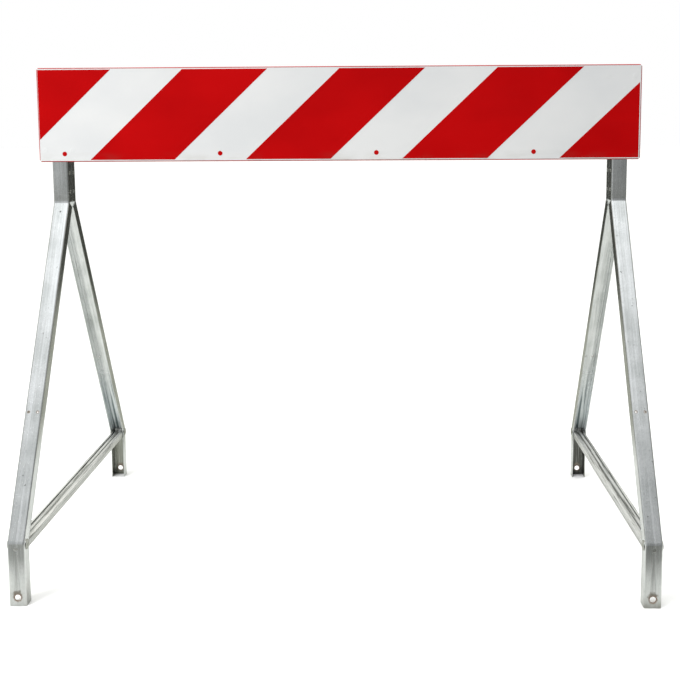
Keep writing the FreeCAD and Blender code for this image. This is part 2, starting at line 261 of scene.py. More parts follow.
@dataclass(frozen=True)
class PreGalvanisedStrip(Finish):
    """Pre-galvanised steel strip, cold-rolled into channel: semi-bright zinc with lengthwise mill
    lines, faint flattened spangle, grey handling marks, a painted reflection inside the lower legs,
    grime under painted shade inside the feet, a brown patch at each foot hole, and brown rust where holes cut
    the zinc."""

    name: str = "pre_galvanised_rolled_steel"
    light: str = "E7E9E9"
    dull: str = "CFD2D1"
    line_and_shade_tone: str = "A7AAA8"
    line_mm: float = 2.0
    line_depth: float = 0.5
    line_start: float = 0.5
    line_edge: float = 0.74
    metal: float = 0.96
    inner_half: float = 0.0148
    slope: float = 0.568
    web_rust: float = 0.0022
    sizes: TrestleSizes = TrestleSizes()

    def sockets(self, tree: Tree) -> dict[str, Feed]:
        """Feed the shader from lengthwise metres, object coordinates and the place of each hole.

        Args:
            tree: The material's tree.

        Returns:
            Colour, roughness, metal and relief.
        """
        along = put(tree, "ShaderNodeUVMap", {"uv_map": "metres"}, {})
        place = put(tree, "ShaderNodeTexCoord", {}, {}).outputs["Object"]
        x, _, z = put(tree, "ShaderNodeSeparateXYZ", {}, {0: place}).outputs
        fold = self.fold(tree, place)
        lines = pattern(tree, along, (self.line_mm, 65.0 * self.line_mm, 1.0), 3.0)
        broad = pattern(tree, along, (5.0, 300.0, 1.0), 2.0)
        blotch = pattern(tree, place, (46.0, 46.0, 60.0), 3.0)
        specks = pattern(tree, place, (5.0, 5.0, 6.0), 4.0)
        cells = put(tree, "ShaderNodeMapping", {}, {"Vector": along, "Scale": (150.0, 110.0, 1.0)})
        spangle = put(tree, "ShaderNodeTexVoronoi", {}, {"Vector": cells, "Scale": 1.0}).outputs["Color"]
        grain = put(tree, "ShaderNodeSeparateColor", {}, {0: spangle})
        low = put(tree, "ShaderNodeMapRange", {}, {0: z, 1: 0.05, 2: 0.0, 4: 0.75})
        patchy = put(tree, "ShaderNodeMapRange", {}, {0: blotch, 1: 0.3, 2: 0.62})
        soil = put(tree, "ShaderNodeMath", {"operation": "MULTIPLY"}, {0: low, 1: patchy})
        # Painted shade over some grime inside the feet, much darker under the right trestle, where less light
        # falls.
        grime_and_shade_tone = coated(tree, linear("83857B"), (x, -0.1, 0.1, 1.0, linear("42433B")))
        # Painted reflection: a pale sheen with dark teal streaks inside the lower legs.
        painted_reflection = self.inner_painted_reflection(tree, fold)
        reflection_streaks = coated(tree, linear("F3F8F9"), (broad, 0.5, 0.58, 0.85, linear("55696C")))
        skin = self.sizes.width / 2.0
        worn = self.hole_rust(tree, fold, specks)
        colour = coated(
            tree,
            linear(self.light),
            (blotch, 0.36, 0.66, 1.0, linear(self.dull)),
            (grain, 0.0, 1.0, 0.22, linear("C3C6C6")),
            # Lengthwise lines: faint mill lines, and on the brace near-black lines of painted shade.
            (lines, self.line_start, self.line_edge, self.line_depth, linear(self.line_and_shade_tone)),
            (broad, 0.52, 0.7, 0.55, linear("F6F8F9")),
            (specks, 0.7, 0.72, 0.9, linear("4B4A45")),
            (soil, 0.0, 1.0, 1.0, linear("8B8980")),
            (self.feet_grime_and_shade(tree, fold, lines), 0.0, 1.0, 1.0, grime_and_shade_tone),
            # A brown patch over each foot hole, centred a little above its middle.
            (self.foot_hole_patch(tree, fold, specks), 0.0, 1.0, 0.85, linear("7C746A")),
            (painted_reflection, 0.0, 1.0, 1.0, reflection_streaks),
            (fold.off, skin + 0.0003, skin + 0.0008, 0.8, linear("8B8C80")),
            (worn, 0.0, 1.0, 1.0, linear("75604E")),
        )
        rubbed = put(tree, "ShaderNodeMapRange", {}, {0: lines, 1: 0.3, 2: 0.9, 4: 0.7})
        wear = put(tree, "ShaderNodeMath", {"operation": "MAXIMUM"}, {0: worn, 1: rubbed})
        # Less metal under the painted reflection, so that its colour shows.
        reflection_veil = put(tree, "ShaderNodeMath", {"operation": "MULTIPLY"}, {0: painted_reflection, 1: 0.75})
        dulled = put(tree, "ShaderNodeMath", {"operation": "MAXIMUM"}, {0: worn, 1: reflection_veil})
        rolled = put(tree, "ShaderNodeBump", {}, {"Height": lines, "Strength": 0.12, "Distance": 0.0004})
        pits = {"Height": specks, "Strength": 0.2, "Distance": 0.0006, "Normal": rolled}
        return {
            "Base Color": colour,
            "Roughness": put(tree, "ShaderNodeMapRange", {}, {0: wear, 3: 0.16, 4: 0.46}),
            "Metallic": put(tree, "ShaderNodeMapRange", {}, {0: dulled, 3: self.metal, 4: 0.0}),
            "Normal": put(tree, "ShaderNodeBump", {}, pits),
        }

    def fold(self, tree: Tree, place: Socket) -> Folded:
        """Fold object coordinates over both middle planes of the barricade.

        Args:
            tree: The material's tree.
            place: Object coordinates.

        Returns:
            The folded coordinates, with the distance off the trestle's own middle plane.
        """
        x, y, z = put(tree, "ShaderNodeSeparateXYZ", {}, {0: place}).outputs
        across, deep = (put(tree, "ShaderNodeMath", {"operation": "ABSOLUTE"}, {0: v}) for v in (x, y))
        beyond = put(tree, "ShaderNodeMath", {"operation": "SUBTRACT"}, {0: across, 1: self.sizes.post_x})
        off = put(tree, "ShaderNodeMath", {"operation": "ABSOLUTE"}, {0: beyond})
        spot = put(tree, "ShaderNodeCombineXYZ", {}, {0: across, 1: deep, 2: z})
        return Folded(deep, z, off, spot)

    def inner_painted_reflection(self, tree: Tree, fold: Folded) -> Node:
        """Mask the painted reflection inside the lower legs: a pale sheen with dark streaks.

        Args:
            tree: The material's tree.
            fold: Folded coordinates.

        Returns:
            The bloom mask.
        """
        start = self.sizes.spread + self.sizes.ankle_z * self.slope
        slanted = {0: fold.height, 1: -self.slope, 2: start}
        skin = put(tree, "ShaderNodeMath", {"operation": "MULTIPLY_ADD"}, slanted)
        inset = put(tree, "ShaderNodeMath", {"operation": "SUBTRACT"}, {0: skin, 1: fold.deep})
        # Between the flanges, behind the web, fading out up the leg, and clear of the ankle's lap.
        return overlap(
            tree,
            (fold.off, self.inner_half, self.inner_half - 0.0002),
            (inset, 0.0008, 0.0014),
            (fold.height, 0.34, 0.2),
            (fold.height, 0.1245, 0.1265),
        )

    def feet_grime_and_shade(self, tree: Tree, fold: Folded, lines: Node) -> Node:
        """Mask the inside of the upright feet: some grime, and painted shade in the recess.

        Args:
            tree: The material's tree.
            fold: Folded coordinates.
            lines: Lengthwise noise that streaks the grime and the painted shade.

        Returns:
            The mask of grime and painted shade.
        """
        web = self.sizes.spread - 0.001
        # Between the flanges, behind the web, and fading out at the ankle.
        inside = overlap(
            tree,
            (fold.off, self.inner_half, self.inner_half - 0.0002),
            (fold.deep, web, web - 0.0003),
            (fold.height, 0.13, 0.1),
        )
        streaks = put(tree, "ShaderNodeMapRange", {}, {0: lines, 1: 0.0, 2: 0.5, 4: 0.95})
        return put(tree, "ShaderNodeMath", {"operation": "MULTIPLY"}, {0: streaks, 1: inside})

    def near_hole(self, tree: Tree, fold: Folded, specks: Node, hole: Hole, fray: float) -> Node:
        """Distance from the middle of a hole, frayed by noise.

        Args:
            tree: The material's tree.
            fold: Folded coordinates.
            specks: Fine noise.
            hole: Middle of the hole, and its radius.
            fray: How far the noise reaches, in radii.

        Returns:
            The distance in metres.
        """
        *middle, radius = hole
        apart = put(tree, "ShaderNodeVectorMath", {"operation": "DISTANCE"}, {0: fold.spot, 1: tuple(middle)})
        inputs = {0: specks, 1: -radius * fray, 2: apart.outputs["Value"]}
        return put(tree, "ShaderNodeMath", {"operation": "MULTIPLY_ADD"}, inputs)

    def foot_hole_patch(self, tree: Tree, fold: Folded, specks: Node) -> Node:
        """Mask the brown patch over each foot hole, centred a little above its middle.

        Args:
            tree: The material's tree.
            fold: Folded coordinates.
            specks: Fine noise that breaks the patch up.

        Returns:
            The patch mask.
        """
        sizes, radius = self.sizes, self.sizes.foot_hole
        middle = (sizes.post_x, sizes.spread, sizes.foot_hole_z + radius * 0.9, radius)
        return overlap(tree, (self.near_hole(tree, fold, specks, middle, 2.2), radius * 0.75, 0.0))

    def hole_rust(self, tree: Tree, fold: Folded, specks: Node) -> Node:
        """Mask the wall and the rim of every hole.

        Args:
            tree: The material's tree.
            fold: Folded coordinates.
            specks: Fine noise that frays the rim.

        Returns:
            The rust mask.
        """
        sizes = self.sizes
        drift = sizes.half_post + sizes.web_share * (sizes.spread - sizes.half_post)
        holes = [(sizes.post_x, sizes.spread, sizes.foot_hole_z, sizes.foot_hole)]
        for way in BOTH:
            x = sizes.post_x + way * sizes.web_hole_gap / 2.0
            holes.append((x, drift, sizes.web_hole_z, self.web_rust))
        mask: Feed = 0.0
        for hole in holes:
            frayed = self.near_hole(tree, fold, specks, hole, 0.45)
            near = put(tree, "ShaderNodeMapRange", {}, {0: frayed, 1: hole[3] * 1.35, 2: hole[3] * 0.85})
            mask = put(tree, "ShaderNodeMath", {"operation": "MAXIMUM"}, {0: near, 1: mask})
        return mask


@dataclass(frozen=True)
class DippedSheet(Finish):
    """Hot-dip galvanised sheet: dull grey zinc with visible crystal spangle and pale storage stain."""

    name: str = "hot_dip_galvanised_sheet"
    cell_mm: float = 11.0

    def sockets(self, tree: Tree) -> dict[str, Feed]:
        """Feed the shader from crystals with wavering edges.

        Args:
            tree: The material's tree.

        Returns:
            Colour, roughness, metal and relief.
        """
        place = put(tree, "ShaderNodeTexCoord", {}, {}).outputs["Object"]
        wobble = put(tree, "ShaderNodeTexNoise", {}, {"Vector": place, "Scale": 160.0, "Detail": 2.0})
        shift = {0: wobble.outputs[1], 1: (0.004, 0.004, 0.004), 2: place}
        bent = put(tree, "ShaderNodeVectorMath", {"operation": "MULTIPLY_ADD"}, shift)
        crystals = put(tree, "ShaderNodeTexVoronoi", {}, {"Vector": bent, "Scale": 1000.0 / self.cell_mm})
        split = put(tree, "ShaderNodeSeparateColor", {}, {0: crystals.outputs["Color"]})
        tone, sheen, level = split.outputs
        blotch = pattern(tree, place, (70.0, 70.0, 70.0), 4.0)
        facets = {"Height": level, "Strength": 0.08, "Distance": 0.0003}
        return {
            "Base Color": coated(
                tree,
                linear("CFD2CF"),
                (tone, 0.0, 1.0, 0.6, linear("ABAEAB")),
                (blotch, 0.52, 0.72, 0.5, linear("DFE1DD")),
            ),
            "Roughness": put(tree, "ShaderNodeMapRange", {}, {0: sheen, 3: 0.36, 4: 0.56}),
            "Metallic": 0.6,
            "Normal": put(tree, "ShaderNodeBump", {}, facets),
        }


@dataclass(frozen=True)
class ReflectiveFilm(Finish):
    """Engineer-grade retroreflective film: glass beads under a clear acrylic face, which looks
    evenly pale and satin, with a fine bead grain, soft handling marks and a little road dust."""

    name: str = "retroreflective_acrylic_film"
    tone: str = "E8E8E8"
    shade: str = "E0E1E2"
    dust: str = "B9B6AC"
    gloss: float = 0.34
    shine: float = 0.3
    floor_z: float = 0.835

    def sockets(self, tree: Tree) -> dict[str, Feed]:
        """Feed the shader from clouds, smears and beads.

        Args:
            tree: The material's tree.

        Returns:
            Colour, roughness, shine and relief.
        """
        place = put(tree, "ShaderNodeTexCoord", {}, {}).outputs["Object"]
        z = put(tree, "ShaderNodeSeparateXYZ", {}, {0: place}).outputs[2]
        cloud = pattern(tree, place, (210.0, 210.0, 120.0), 3.0)
        smear = pattern(tree, place, (60.0, 60.0, 16.0), 4.0)
        # Real beads are 0.06 mm; drawn at 1.4 mm so that the grain shows.
        beads = put(tree, "ShaderNodeTexVoronoi", {}, {"Vector": place, "Scale": 1000.0 / 1.4})
        low = put(tree, "ShaderNodeMapRange", {}, {0: z, 1: self.floor_z + 0.022, 2: self.floor_z, 4: 0.5})
        smudge = put(tree, "ShaderNodeMapRange", {}, {0: smear, 1: 0.42, 2: 0.72})
        soil = put(tree, "ShaderNodeMath", {"operation": "MULTIPLY"}, {0: low, 1: smudge})
        worn = put(tree, "ShaderNodeMapRange", {}, {0: smear, 1: 0.35, 2: 0.7})
        grain = {"Height": beads.outputs["Distance"], "Strength": 0.1, "Distance": 0.0002}
        return {
            "Base Color": coated(
                tree,
                linear(self.tone),
                (cloud, 0.38, 0.66, 1.0, linear(self.shade)),
                (soil, 0.0, 1.0, 1.0, linear(self.dust)),
            ),
            "Roughness": put(tree, "ShaderNodeMapRange", {}, {0: worn, 3: self.gloss, 4: self.gloss + 0.14}),
            "Specular IOR Level": self.shine,
            "Normal": put(tree, "ShaderNodeBump", {}, grain),
        }


@dataclass(frozen=True)
class PlatedSteel(Finish):
    """Small metal hardware: a plain metal with cloudy roughness, such as zinc-plated or cast iron."""

    name: str = "bright_zinc_plated_steel"
    light: str = "D2D3D1"
    dark: str = "ABADA9"
    smooth: float = 0.22
    coarse: float = 0.4
    grain_mm: float = 4.0
    relief: float = 0.1

    def sockets(self, tree: Tree) -> dict[str, Feed]:
        """Feed the shader from a broad cloud and a fine grain.

        Args:
            tree: The material's tree.

        Returns:
            Colour, roughness, metal and relief.
        """
        place = put(tree, "ShaderNodeTexCoord", {}, {}).outputs["Object"]
        cloud = pattern(tree, place, (self.grain_mm * 3,) * 3, 3.0)
        grain = pattern(tree, place, (self.grain_mm / 3,) * 3, 3.0)
        matt = put(tree, "ShaderNodeMapRange", {}, {0: grain, 1: 0.3, 2: 0.7})
        rough = {"Height": grain, "Strength": self.relief, "Distance": 0.0004}
        return {
            "Base Color": coated(tree, linear(self.light), (cloud, 0.35, 0.68, 1.0, linear(self.dark))),
            "Roughness": put(tree, "ShaderNodeMapRange", {}, {0: matt, 3: self.smooth, 4: self.coarse}),
            "Metallic": 0.95,
            "Normal": put(tree, "ShaderNodeBump", {}, rough),
        }


# ------------------------------------------------------------------ mesh tools
def fillet(points: list[tuple[float, float]], radius: float, steps: int = 5) -> list[tuple[float, float]]:
    """Round the inner corners of an open line.

    Args:
        points: Corners of the line.
        radius: Radius of every corner.
        steps: Segments in each corner.

    Returns:
        The line with its corners rounded.
    """
    line = [points[0]]
    for before, corner, after in zip(points, points[1:], points[2:]):
        a, b, c = Vector(before), Vector(corner), Vector(after)
        to_a, to_c = (a - b).normalized(), (c - b).normalized()
        half = to_a.angle(to_c) / 2.0
        reach = radius / math.tan(half)
        middle = b + (to_a + to_c).normalized() * (radius / math.sin(half))
        start = b + to_a * reach - middle
        turn = start.angle_signed(b + to_c * reach - middle)
        for step in range(steps + 1):
            line.append(tuple(middle + Matrix.Rotation(-turn * step / steps, 2) @ start))
    line.append(points[-1])
    return line


def lengths(points: list[Vector]) -> list[float]:
    """Measure the running length along a line.

    Args:
        points: The line.

    Returns:
        The length up to each point, starting at 0.
    """
    run = [0.0]
    for a, b in zip(points, points[1:]):
        run.append(run[-1] + (b - a).length)
    return run


def link(name: str, bm: bmesh.types.BMesh) -> Thing:
    """Turn a bmesh into an object in the scene, and free the bmesh.

    Args:
        name: Name of the new object.
        bm: Its shape.

    Returns:
        The new object.
    """
    mesh = bpy.data.meshes.new(name)
    bm.to_mesh(mesh)
    bm.free()
    return show(name, mesh)


def show(name: str, data: bpy.types.ID) -> Thing:
    """Put new object data into the scene.

    Args:
        name: Name of the new object.
        data: Its mesh, light or camera.

    Returns:
        The new object.
    """
    thing = bpy.data.objects.new(name, data)
    bpy.context.scene.collection.objects.link(thing)
    return thing


def sheet_mesh(name: str, rows: list[list[Vector | None]], breaks: tuple[int, ...] = ()) -> Thing:
    """Lay quads between rows of points, with a metre-scale UV map.

    Args:
        name: Name of the new object.
        rows: Rows of points of one length; None where there is no metal.
        breaks: Row numbers after which no faces are laid, as at a slit.

    Returns:
        A new object linked to the scene.
    """
    bm = bmesh.new()
    uv = bm.loops.layers.uv.new("metres")
    fullest = max(rows, key=lambda row: sum(p is not None for p in row))
    across = lengths([p if p is not None else Vector() for p in fullest])
    middle = len(rows[0]) // 2
    along = lengths([next(p for p in row[middle:] + row if p is not None) for row in rows])
    grid = [[bm.verts.new(p) if p is not None else None for p in row] for row in rows]
    for i in range(len(rows) - 1):
        if i in breaks:
            continue
        for j in range(len(rows[0]) - 1):
            spots = [(i, j), (i, j + 1), (i + 1, j + 1), (i + 1, j)]
            corners = [grid[r][c] for r, c in spots]
            if any(corner is None for corner in corners):
                continue
            face = bm.faces.new(corners)
            for loop, (r, c) in zip(face.loops, spots):
                loop[uv].uv = (across[c], along[r])
    bmesh.ops.remove_doubles(bm, verts=bm.verts, dist=1e-7)
    return link(name, bm)


def face_towards(piece: Thing, way: Vector) -> None:
    """Turn all faces over if the widest one looks away from a direction.

    Args:
        piece: The skin.
        way: The direction.
    """
    mesh = piece.data
    widest = max(mesh.polygons, key=lambda p: p.area * abs(p.normal.dot(way)))
    if widest.normal.dot(way) < 0.0:
        mesh.flip_normals()


def lathe(profile: list[tuple[float, float]], around: int = 32) -> bpy.types.Mesh:
    """Spin a profile about the Z axis into a closed skin.

    Args:
        profile: Radius and height pairs from the bottom pole to the top pole.
        around: Number of sides.

    Returns:
        A new mesh with outward faces.
    """
    bm = bmesh.new()
    rings = []
    angles = [math.tau * k / around for k in range(around)]
    for radius, height in profile:
        if radius < 1e-9:
            rings.append([bm.verts.new((0.0, 0.0, height))])
            continue
        rings.append([bm.verts.new((radius * math.cos(a), radius * math.sin(a), height)) for a in angles])
    for low, high in zip(rings, rings[1:]):
        for k in range(around):
            n = k + 1
            quad = [low[k % len(low)], low[n % len(low)], high[n % len(high)], high[k % len(high)]]
            corners = list(dict.fromkeys(quad))
            if len(corners) > 2:
                bm.faces.new(corners)
    bmesh.ops.recalc_face_normals(bm, faces=bm.faces)
    mesh = bpy.data.meshes.new("lathe")
    bm.to_mesh(mesh)
    bm.free()
    return mesh


def soften(mesh: bpy.types.Mesh, smooth_deg: float = 32.0) -> None:
    """Shade a mesh smooth except at its sharp edges."""
    mesh.polygons.foreach_set("use_smooth", [True] * len(mesh.polygons))
    mesh.set_sharp_from_angle(angle=math.radians(smooth_deg))


def settle(piece: Thing, smooth_deg: float = 32.0) -> None:
    """Apply all modifiers, and shade smooth except at sharp edges.

    Args:
        piece: The piece.
        smooth_deg: Edges sharper than this angle stay sharp.
    """
    graph = bpy.context.evaluated_depsgraph_get()
    graph.update()
    made = bpy.data.meshes.new_from_object(piece.evaluated_get(graph))
    piece.modifiers.clear()
    old = piece.data
    piece.data = made
    made.name = piece.name
    bpy.data.meshes.remove(old)
    soften(made, smooth_deg)


def thicken(piece: Thing, sheet: float, edge: float = 0.00035) -> None:
    """Give a skin its sheet thickness inwards, and ease its cut edges.

    Args:
        piece: The skin, with faces on the outside of the metal.
        sheet: Thickness in metres.
        edge: Size of the eased edge in metres.
    """
    solid = piece.modifiers.new("gauge", "SOLIDIFY")
    solid.thickness = sheet
    solid.offset = -1.0
    solid.use_even_offset = True
    if edge > 0.0:
        ease = piece.modifiers.new("eased_edge", "BEVEL")
        ease.width = edge
        ease.segments = 2
        ease.limit_method = "ANGLE"
        ease.angle_limit = math.radians(50.0)
        ease.harden_normals = False
    settle(piece)


def drill(piece: Thing, holes: list[Bore], depth: float, ease: float = 0.0003) -> None:
    """Cut round holes with slightly eased rims.

    Args:
        piece: A closed piece.
        holes: For each hole its centre on the outer face, its outward direction and its radius.
        depth: Thickness of the metal.
        ease: Size of the eased rim.
    """
    over = 0.001
    bm = bmesh.new()
    for centre, out, radius in holes:
        wide = radius + ease + over
        profile = [
            (0.0, -depth - over), (wide, -depth - over), (radius, -depth + ease),
            (radius, -ease), (wide, over), (0.0, over),
        ]
        tool = lathe(profile, 40)
        tool.transform(Matrix.Translation(centre) @ out.to_track_quat("Z", "Y").to_matrix().to_4x4())
        bm.from_mesh(tool)
        bpy.data.meshes.remove(tool)
    cutter = link("drill", bm)
    cut = piece.modifiers.new("drilled", "BOOLEAN")
    cut.object = cutter
    cut.solver = "EXACT"
    settle(piece)
    bpy.data.objects.remove(cutter)


def absorb(piece: Thing, mesh: bpy.types.Mesh, place: Matrix | None = None) -> None:
    """Add a closed mesh to a piece, and drop the spare mesh.

    Args:
        piece: The piece that grows.
        mesh: The mesh to add.
        place: Where it goes, if it isn't there yet.
    """
    if place is not None:
        mesh.transform(place)
    bm = bmesh.new()
    bm.from_mesh(piece.data)
    bm.from_mesh(mesh)
    bm.to_mesh(piece.data)
    bm.free()
    bpy.data.meshes.remove(mesh)
    soften(piece.data)


def join(piece: Thing, extra: Thing) -> None:
    """Make another object part of a piece, and drop the object.

    Args:
        piece: The piece that grows.
        extra: The object that it takes in.
    """
    spare = extra.data
    bpy.data.objects.remove(extra)
    absorb(piece, spare)


def coat(thing: Thing, finish: Material) -> None:
    """Give an object one finish all over.

    Args:
        thing: A piece, or a CAD node that is shown as it is.
        finish: Its material.
    """
    thing.data.materials.clear()
    thing.data.materials.append(finish)
    thing.data.polygons.foreach_set("material_index", [0] * len(thing.data.polygons))


def fit(piece: Thing, body: str, finish: Material, slot: str, *nodes: str) -> None:
    """Dress a finished piece, seat it on its body and let it stand for CAD nodes.

    Args:
        piece: The finished piece.
        body: The body that it rides on.
        finish: Its material.
        slot: A material slot's name; not used.
        nodes: The CAD nodes that it stands for.
    """
    coat(piece, finish)
    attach(piece, body)
    if nodes:
        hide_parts(*nodes)
    log.info("%s: %d faces on %s", piece.name, len(piece.data.polygons), body)


# ------------------------------------------------------------------ rivets by geometry nodes
@dataclass(frozen=True)
class Rivet:
    """One domed head with a rolled rim, and a mandrel's dent in a blind rivet."""

    radius: float
    height: float
    dent: float = 0.0
    brim: float = 0.0002

    def head(self) -> Thing:
        """Model the head.

        Returns:
            The pattern object about the origin, along +Z.
        """
        profile = [(0.0, -0.0004), (self.radius * 0.9, -0.0004), (self.radius, self.brim)]
        for step in range(1, 8):
            angle = math.radians(12.0 * step)
            rise = (self.height - self.brim) * math.sin(angle)
            profile.append((self.radius * math.cos(angle), self.brim + rise))
        if self.dent > 0.0:
            profile = [p for p in profile if p[0] > self.dent * 1.3 or p[1] < 0.0]
            top = profile[-1][1]
            profile += [(self.dent * 1.15, top), (self.dent, top - 0.0002)]
            profile += [(self.dent * 0.95, top * 0.35), (self.dent * 0.8, top * 0.3), (0.0, top * 0.42)]
        else:
            profile.append((0.0, self.height))
        return show("rivet_head", lathe(profile, 24))


class RivetTree:
    """A node tree that sets one head on each point of a mesh, turned to the point's axis."""

    def __init__(self) -> None:
        """Build the tree with sockets for the head and its finish."""
        tree = bpy.data.node_groups.new("set_rivets", "GeometryNodeTree")
        face = tree.interface
        face.new_socket("Places", in_out="INPUT", socket_type="NodeSocketGeometry")
        self.head = face.new_socket("Head", in_out="INPUT", socket_type="NodeSocketObject").identifier
        self.size = face.new_socket("Size", in_out="INPUT", socket_type="NodeSocketFloat").identifier
        self.finish = face.new_socket("Finish", in_out="INPUT", socket_type="NodeSocketMaterial").identifier
        face.new_socket("Rivets", in_out="OUTPUT", socket_type="NodeSocketGeometry")
        entry = put(tree, "NodeGroupInput", {}, {}).outputs
        shape = put(tree, "GeometryNodeObjectInfo", {}, {"Object": entry["Head"]}).outputs["Geometry"]
        named = {"data_type": "FLOAT_VECTOR"}
        axis = put(tree, "GeometryNodeInputNamedAttribute", named, {"Name": "axis"})
        turn = put(tree, "FunctionNodeAlignRotationToVector", {"axis": "Z"}, {"Vector": axis})
        spots = {"Points": entry["Places"], "Instance": shape, "Rotation": turn, "Scale": entry["Size"]}
        spread = put(tree, "GeometryNodeInstanceOnPoints", {}, spots)
        real = put(tree, "GeometryNodeRealizeInstances", {}, {0: spread})
        dressed = put(tree, "GeometryNodeSetMaterial", {}, {"Geometry": real, "Material": entry["Finish"]})
        put(tree, "NodeGroupOutput", {}, {0: dressed})
        self.tree = tree

    def set(self, name: str, places: list[tuple[Vector, Vector]], rivet: Rivet, finish: Material) -> Thing:
        """Set heads at given places.

        Args:
            name: Name of the new piece.
            places: Point and outward axis of each head.
            rivet: What they look like.
            finish: Their material.

        Returns:
            One plain mesh object with all heads.
        """
        head = rivet.head()
        mesh = bpy.data.meshes.new(name)
        mesh.from_pydata([tuple(p) for p, _ in places], [], [])
        axis = mesh.attributes.new("axis", "FLOAT_VECTOR", "POINT")
        axis.data.foreach_set("vector", [c for _, way in places for c in way])
        piece = show(name, mesh)
        modifier = piece.modifiers.new("rivets", "NODES")
        modifier.node_group = self.tree
        modifier[self.head] = head
        modifier[self.size] = 1.0
        modifier[self.finish] = finish
        settle(piece, 40.0)
        bpy.data.objects.remove(head)
        return piece


@dataclass(frozen=True)
class Kit:
    """What the sub-assemblies share: the CAD nodes, the rivet tree and the finishes."""

    nodes: dict[str, Thing]
    rivets: RivetTree
    strip: Material
    shade_lined: Material
    zinc: Material
    white: Material
    red: Material
    plated: Material
    alloy: Material
    cast: Material

    @classmethod
    def gather(cls, nodes: dict[str, Thing], sizes: TrestleSizes) -> Kit:
        """Make every finish once.

        Args:
            nodes: The frame's CAD nodes by name.
            sizes: Sizes of the trestles, which the strip's marks follow.
        """
        # The brace's strip: its near-black lengthwise lines are painted shade, standing in for shaded
        # creases.
        shade_lined = PreGalvanisedStrip(
            "pre_galvanised_strip_with_drawing_lines", light="F8F9F7", dull="F0F1EE", line_and_shade_tone="3C3D36",
            line_mm=2.6, line_depth=0.95, line_start=0.57, line_edge=0.61, metal=0.35, sizes=sizes,
        )
        red = ReflectiveFilm("red_ink_on_retroreflective_film", "C00407", "B40205", "7E3A33", 0.36, 0.08)
        alloy = PlatedSteel("plain_aluminium_blind_rivet", "B4B5B1", "94958F", 0.3, 0.48)
        cast = PlatedSteel("zinc_plated_malleable_iron", "B9B9B2", "8F8F89", 0.42, 0.62, 3.0, 0.35)
        strip = PreGalvanisedStrip(sizes=sizes)
        finishes = (strip, shade_lined, DippedSheet(), ReflectiveFilm(), red, PlatedSteel(), alloy, cast)
        return cls(nodes, RivetTree(), *(finish.make() for finish in finishes))


